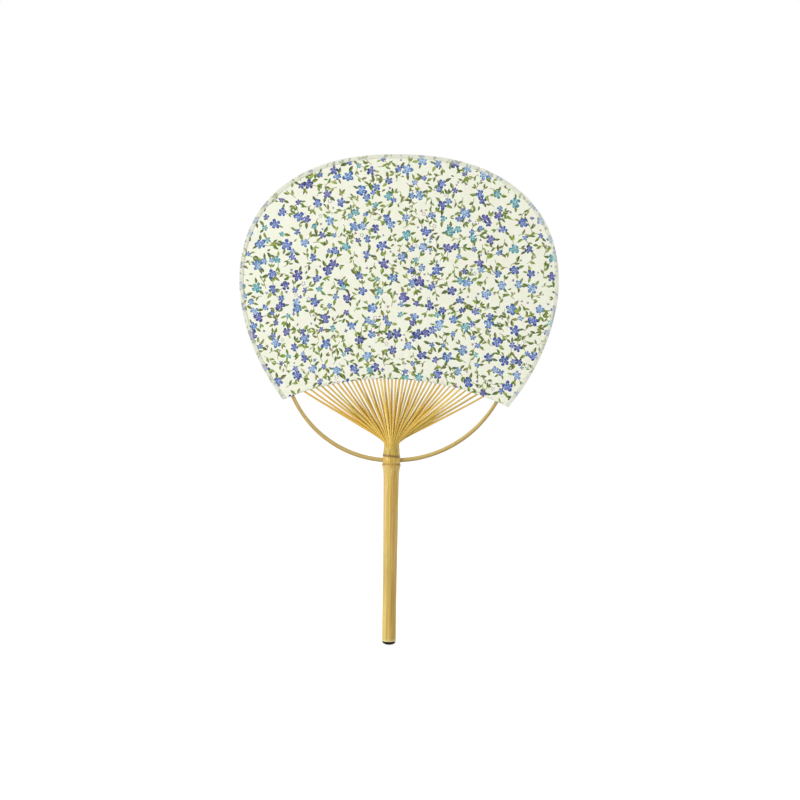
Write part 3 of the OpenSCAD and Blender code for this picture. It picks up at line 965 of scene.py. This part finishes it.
def add_leaves(sheet, p, r, count):
    """Leaves that come out from under a flower, some of them in tufts on a stem."""
    first = uniform(0, tau)
    for k in range(count):
        angle = first + k * uniform(1.0, 2.0)
        length = uniform(4.0, 6.1)
        base = p + heading_of(angle) * r * 0.7
        tip = p + heading_of(angle) * (r + length * 0.6)
        if not sheet.free(tip, 0.3):
            continue
        if chance(0.3):
            q, way = draw_stem(sheet, base, angle, length * 0.6, uniform(-0.7, 0.7))[-1]
            draw_tuft(sheet, q, way, length * 0.85, choice((2, 2, 3)))
            tip = q + heading_of(way) * length * 0.3
        else:
            draw_leaf(sheet, base, angle, length)
        sheet.taken.append((tip, 1.3))


def draw_print():
    """Flowers over their leaves, then sprigs, then small things in the gaps that are left."""
    sheet = Print()
    flowers = []
    for r, tries, margin in ((3.9, 300, 4.4), (3.2, 450, 2.6), (2.3, 460, 2.0)):
        for p in scatter(sheet, r, tries, margin):
            size = r * uniform(0.88, 1.1)
            flowers.append((p, size))
            sheet.taken.append((p, size))
            if chance(0.35) and r > 2.5:
                mate = p + heading_of(uniform(0, tau)) * size * 1.5
                flowers.insert(random.randrange(len(flowers)), (mate, size * uniform(0.6, 0.9)))
                sheet.taken.append((mate, size * 0.8))
    for p, r in flowers:
        add_leaves(sheet, p, r, choice((2, 3, 3, 3, 3)))
    for size, tries in ((8.4, 1100), (6.6, 1000)):
        for p in scatter(sheet, size * 0.27, tries, 0.1):
            angle = uniform(0, tau)
            draw_sprig(sheet, p, angle, size * uniform(0.85, 1.05))
            for k in (-0.32, 0.0, 0.32):
                sheet.taken.append((p + heading_of(angle) * size * k, size * 0.24))
    for p in scatter(sheet, 0.9, 1700, 0.5):
        kind = random.random()
        if kind < 0.3:
            draw_bud(sheet, p, uniform(0, 6.28), uniform(0.9, 1.3))
        elif kind < 0.5:
            draw_ring_flower(sheet, p, uniform(1.3, 1.9))
        elif kind < 0.9:
            draw_tuft(sheet, p, uniform(0, 6.28), uniform(3.0, 4.2), choice((1, 1, 2)))
        else:
            draw_flower(sheet, p, uniform(1.2, 1.6), choice(FLOWER_INKS), 4)
        sheet.taken.append((p, 1.2))
    for p, r in flowers:
        draw_flower(sheet, p, r, random.choices(FLOWER_INKS, FLOWER_SHARES)[0])
    return sheet


# Sheets and rim tape


def edge_height(x, inset=0.0):
    """Height of the sheets' lower edge."""
    return arc_height(edge_arc(x > EDGE_X, inset), x)


def on_sheet(p, margin=0.0):
    return oval_reach(p.x, p.y, margin) < 1 and p.y > edge_height(p.x) - margin


def sheet_outline():
    """Outline of the sheets as x and h: the lower edge from left to right, then the oval back round."""
    first, last = tip_turn(False), tip_turn(True)
    left, right = oval_point(first).x, oval_point(last).x
    count = round(right - left)
    xs = [mix(left, right, k / count) for k in range(count + 1)]
    oval = [oval_point(mix(last, first, k / OVAL_STEPS)) for k in range(1, OVAL_STEPS)]
    return [Vector((x, edge_height(x))) for x in xs] + oval


def cut_sheet(ridge_lines, extra_points=(), shapes=()):
    """A sheet cut along its outline, lines over each rib and each inked shape.

    Gives its points, its triangles and for each triangle the number of the topmost shape, or 0.
    """
    points = sheet_outline()
    edges = [(k, (k + 1) % len(points)) for k in range(len(points))]
    for i, (start, heading) in enumerate(RIB_LINES):
        across = Vector((heading.y, -heading.x))
        stop = rib_end(i, -TAPE_W) - heading
        for offset in ridge_lines:
            first = len(points)
            points += [start.lerp(stop, k / RIDGE_STEPS) + across * offset for k in range(RIDGE_STEPS + 1)]
            edges += [(first + k, first + k + 1) for k in range(RIDGE_STEPS)]
    points += extra_points
    rings = [[tuple(p) for p in shape[0]] for shape in shapes]
    for ring, shown in zip(rings, shown_sides(rings)):
        number = {}
        for k in shown:
            for corner in (k, (k + 1) % len(ring)):
                if corner not in number:
                    number[corner] = len(points)
                    points.append(Vector(ring[corner]))
            edges.append((number[k], number[(k + 1) % len(ring)]))
    spots, _, triangles, *_ = delaunay_2d_cdt(points, edges, [], 0, 1e-5, False)
    centres = [(spots[a] + spots[b] + spots[c]) / 3 for a, b, c in triangles]
    triangles, centres = zip(*[(t, p) for t, p in zip(triangles, centres) if on_sheet(p)])
    return spots, triangles, topmost(centres, rings)


def encloses(ring, p):
    x, h = p
    crossed = False
    for a, b in zip(ring, ring[1:] + ring[:1]):
        if (a[1] > h) != (b[1] > h) and x < a[0] + (h - a[1]) / (b[1] - a[1]) * (b[0] - a[0]):
            crossed = not crossed
    return crossed


def cell_of(p):
    """The square of one millimetre that a point lies in."""
    return math.floor(p[0]), math.floor(p[1])


def cells_of(ring):
    """The squares that a ring's box touches."""
    xs, hs = zip(*map(cell_of, ring))
    return [(i, j) for i in range(min(xs), max(xs) + 1) for j in range(min(hs), max(hs) + 1)]


def shown_sides(rings):
    """For each shape the numbers of its sides that no later shape covers."""
    cells = {}
    for n, ring in enumerate(rings):
        for cell in cells_of(ring):
            cells.setdefault(cell, []).append(n)
    for n, ring in enumerate(rings):
        shown = []
        for k, a in enumerate(ring):
            b = ring[(k + 1) % len(ring)]
            middle = ((a[0] + b[0]) / 2, (a[1] + b[1]) / 2)
            over = [o for o in cells[cell_of(middle)] if o > n]
            hidden = any(all(encloses(rings[o], q) for q in (middle, a, b)) for o in over)
            if not hidden and (on_sheet(Vector(a), 1) or on_sheet(Vector(b), 1)):
                shown.append(k)
        yield shown


def topmost(centres, rings):
    """For each centre the number of the last shape that it lies in, counted from 1."""
    cells = {}
    for n, p in enumerate(centres):
        cells.setdefault(cell_of(p), []).append(n)
    found = [0] * len(centres)
    for number, ring in enumerate(rings, 1):
        for cell in cells_of(ring):
            for n in cells.get(cell, ()):
                if encloses(ring, centres[n]):
                    found[n] = number
    return found


def loose_points(gap):
    """Points spread over a sheet, so that its slight waves show between the ribs."""
    points = []
    h = LOWEST + 2.0
    row = 0
    half_w = 124
    while h < FACE_H + FACE_TOP:
        x = FACE_X - half_w + (gap / 2 if row % 2 else 0)
        while x < FACE_X + half_w:
            if oval_reach(x, h, -1) < 1 and h > edge_height(x, 1):
                points.append(Vector((x, h)))
            x += gap
        h += gap * 0.87
        row += 1
    return points


def build_sheet(name, slot, material, node, side, thick, made, paint):
    """A thin closed sheet: the cut outline outside, a wall round it and a plain inner face."""
    points, triangles, insides = made
    used = sorted({k for t in triangles for k in t})
    number = {k: n for n, k in enumerate(used)}
    faces = [t if side < 0 else t[::-1] for t in triangles]
    outer = SHEET_GAP + thick
    ridge_t = RIDGE_T if side > 0 else RIDGE_T / 2
    spots = []
    for k in used:
        x, h = points[k]
        spots.append(at(x, side * (outer + sheet_relief(x, h, ridge_t)), h))
    mesh = bpy.data.meshes.new(name)
    mesh.from_pydata(spots, [], [[number[k] for k in t] for t in faces])
    inks = mesh.color_attributes.new("print", "FLOAT_COLOR", "CORNER")
    values = [part for t, inside in zip(faces, insides) for k in t for part in paint(inside, points[k])]
    inks.data.foreach_set("color", values)
    bm = bmesh.new()
    bm.from_mesh(mesh)
    rim = [e for e in bm.edges if e.is_boundary]
    wall = bmesh.ops.extrude_edge_only(bm, edges=rim)["geom"]
    for v in wall:
        if isinstance(v, bmesh.types.BMVert):
            v.co.y = side * SHEET_GAP * MM
    loop = [g for g in wall if isinstance(g, bmesh.types.BMEdge) and g.is_boundary]
    bmesh.ops.triangle_fill(bm, edges=loop, use_beauty=True)

    # The face that shows fills the map for baking. Wall and inner face are blank and lie small above it
    bake = bm.loops.layers.uv.new("OFBake")
    layer = bm.loops.layers.float_color["print"]
    left, scale = FACE_X - FACE_HALF_W - 1, 2 * FACE_HALF_W + 2
    for f in bm.faces:
        hidden = any(v.co.y * side < (outer - 0.3 * thick - 0.2) * MM for v in f.verts)
        for corner in f.loops:
            x, _, z = corner.vert.co / MM
            share = Vector((x - left, z + ORIGIN_H - LOWEST)) / scale
            corner[bake].uv = share * HIDDEN_SCALE + Vector((0, HIDDEN_START)) if hidden else share
            if hidden:
                corner[layer] = BLANK
    bm.to_mesh(mesh)
    bm.free()
    return place_mesh(mesh, name, slot, material, node)


def build_tape(material, made):
    """The rim tape: a strip folded over the rim of the printed sheet, from one tip round to the other."""
    points, triangles, insides = made
    under = BVHTree.FromPolygons([(p.x, p.y, 0) for p in points], triangles)
    front, edge = SHEET_GAP + CLOTH_T, TAPE_GAP + TAPE_T

    def half(depth):
        """The tape's section over one sheet: how far it grows past the oval, and its depth."""
        bend = [(edge, depth * 0.5), (edge - 0.08, depth + TAPE_T * 0.5), (edge - 0.3, depth + TAPE_T)]
        return bend + [(-TAPE_W * k / 5, depth + TAPE_T) for k in range(1, 6)] + [(-TAPE_W, depth)]

    profile = [(grow, -y) for grow, y in reversed(half(front))] + [(edge, 0)] + half(SHEET_GAP + PAPER_T)
    around = len(profile)
    ends = [(tip_turn(True, grow), tip_turn(False, grow)) for grow, _ in profile]

    def spot(u, w):
        k = round(u * around) % around
        grow, y = profile[k]
        if grow == -TAPE_W:
            grow += 0.22 * wander(w * 60, 2.0 if y < 0 else 7.0)
        p = oval_point(mix(*ends[k], w), grow)
        crease = 0.05 * max(0.0, wander(w * 210, 5.0)) * smooth(-grow) if abs(y) > front else 0
        return p, y + copysign(crease, y)

    def place(u, w):
        p, y = spot(u, w)
        return at(p.x, y, p.y)

    def paint(u, w):
        """On the front a grey fold here and there, or the print faintly. A pale strip on the back."""
        p, y = spot(u, w)
        hit = under.ray_cast(Vector((p.x, p.y, 1)), Vector((0, 0, -1)))[2]
        fold = 0.45 * smooth(0.5 + 0.9 * wander(w * 330, 11.0)) if hit is None or y > -front * 0.9 else 0.0
        if hit is None or y > -front * 0.6:
            return (*srgb("A7AFAF"), fold) if y < 0 else (*srgb("EDE8D8"), 0.6)
        colour = paint_cloth(insides[hit], p)
        return (*Vector(colour[:3]).lerp(srgb("A9AFA6"), 0.2), max(fold, colour[3] * 0.62))

    bm = bmesh.new()
    bm.loops.layers.float_color.new("print")
    skin(bm, place, around, TAPE_STEPS, paint=paint)
    finish_mesh(bm, "rim_strip", "rim_paper", material, "rim_tape")


def build_butt(material):
    """Black lacquer: a low bowl whose uneven upper edge has crept up the cut end."""

    def place(u, w):
        turn = tau * u
        c, s = cos(turn), sin(turn)
        creep = 0.85 + 0.5 * wander(c * 1.6, s * 1.6, 1.0) + 0.2 * wander(c * 5, s * 5, 4.0)
        top_h = CUT_H + creep
        if w == 0:
            r = culm_radius(top_h) * 0.97
            return at(r * c, r * s, top_h + 0.02)
        down = (w - 1 / BUTT_STEPS) / (1 - 1 / BUTT_STEPS)
        sunk = sin(pi / 2 * max(0.0, min(1.0, down)))
        r = (culm_radius(top_h) + BUTT_OVER) * (1 - sunk**BUTT_FULL) ** (1 / BUTT_FULL)
        return at(r * c, r * s, top_h * (1 - sunk))

    bm = bmesh.new()
    skin(bm, place, BUTT_SIDES, BUTT_STEPS)
    finish_mesh(bm, "butt_cap", "black_lacquer", material, "butt_lacquer")


# Assembly

floral = draw_print()


def paint_cloth(inside, p):
    return (*floral.colour(inside - 1, p), 1.0) if inside else BLANK


def paint_paper(inside, p):
    """Warmer where a rib lies under the paper."""
    warm = 0.22 * smooth(1 - rib_offset(p.x, p.y) / 0.9) * rim_fade(p.x, p.y)
    return (*srgb("D2B883"), warm)


build_culm(bamboo_skin())
build_ribs(bamboo_ribs())
build_bow(bow_bamboo())
cloth_cut = cut_sheet([0], shapes=floral.shapes)
paper_cut = cut_sheet([RIDGE_HALF_W * k / 2.4 for k in (-2.4, -1, 0, 1, 2.4)], loose_points(3.0))
cloth = build_sheet(
    "printed_cloth", "printed_cotton", printed_cotton(), "front_cloth", -1, CLOTH_T, cloth_cut, paint_cloth
)
paper = build_sheet(
    "plain_paper", "back_paper", fibre_paper(), "back_paper", 1, PAPER_T, paper_cut, paint_paper
)
build_tape(rim_paper(), cloth_cut)
build_butt(black_lacquer())

thread_finish, wood_finish = twisted_thread(), plug_wood()
for node in ("weave_thread", "bow_lashing_left", "bow_lashing_right"):
    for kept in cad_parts[node].material_slots:
        kept.material = thread_finish
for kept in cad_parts["butt_plug"].material_slots:
    kept.material = wood_finish

outline = sheet_outline()
face_area = abs(sum(a.cross(b) for a, b in zip(outline, outline[1:] + outline[:1]))) / 2 * MM * MM


# Stage: floor, light and camera


def pale_floor():
    """Bright to rays from the camera, off gloss or through glass, and plain matt to all others."""
    material = bpy.data.materials.new("pale_floor")
    f = Nodes(material)
    f.nodes.clear()
    seen = f.add("LightPath")
    matt = f.add("BsdfDiffuse", {"Color": (0.62, 0.62, 0.61, 1)})[0]
    plain = f.add("BsdfDiffuse", {"Color": (0.8, 0.8, 0.79, 1)})[0]
    bright = f.add("AddShader", {0: matt, 1: f.add("Emission", {"Strength": 0.72})[0]})[0]
    direct = f.maths("MAXIMUM", seen["Is Camera Ray"], seen["Is Glossy Ray"])
    direct = f.maths("MAXIMUM", direct, seen["Is Transmission Ray"])
    f.add("OutputMaterial", {"Surface": f.add("MixShader", {0: direct, 1: plain, 2: bright})[0]})
    return material


def set_world(fill):
    """White to rays from the camera or through glass, and an even fill of light to all others."""
    world = bpy.data.worlds.new("studio")
    scene.world = world
    f = Nodes(world)
    seen = f.add("LightPath")
    direct = f.maths("MAXIMUM", seen["Is Camera Ray"], seen["Is Transmission Ray"])
    back = f.nodes["Background"].inputs
    back["Color"].default_value = (1, 1, 1, 1)
    f.links.new(f.add("MapRange", {"Value": direct, "To Min": fill})[0], back["Strength"])


def soft_lamp(name, place, size, power):
    """A square lamp that points at the middle of the fan."""
    lamp = bpy.data.lights.new(name, "AREA")
    lamp.shape = "SQUARE"
    lamp.size = size
    lamp.energy = power
    holder = put(name, lamp)
    holder.location = place
    way = Vector((0, 0, 0.16)) - Vector(place)
    holder.rotation_euler = way.to_track_quat("-Z", "Y").to_euler()


floor_mesh = bpy.data.meshes.new("floor")
under_butt = Matrix.Translation((0, 0, -(ORIGIN_H + 0.3) * MM))
bm = bmesh.new()
bmesh.ops.create_grid(bm, x_segments=1, y_segments=1, size=6, matrix=under_butt)
bm.to_mesh(floor_mesh)
bm.free()
floor_mesh.materials.append(pale_floor())
floor = put("floor", floor_mesh)

set_world(0.55)
soft_lamp("key", (-1.7, -0.95, 0.9), 0.9, 28)
soft_lamp("fill", (1.2, -1.6, 0.5), 1.4, 4.5)
soft_lamp("rear", (1.3, 1.5, 1.0), 1.2, 22)

# The camera has the photograph's straight view of the printed face, turned a little in its plane
DISTANCE = 1.2063
LEAN = radians(0.802)
AIM = at(5.99, 0, 189.7)
camera_data = bpy.data.cameras.new("camera")
camera_data.lens = 70
camera_data.sensor_width = 36
camera_data.clip_start, camera_data.clip_end = 0.01, 50
camera = put("camera", camera_data)
right = Vector((cos(LEAN), 0, sin(LEAN)))
up = Vector((-sin(LEAN), 0, cos(LEAN)))
back_way = right.cross(up)
turned = Matrix((right, up, back_way)).transposed()
camera.matrix_world = Matrix.Translation(AIM + back_way * DISTANCE) @ turned.to_4x4()
scene.camera = camera
scene.view_settings.view_transform = "Standard"
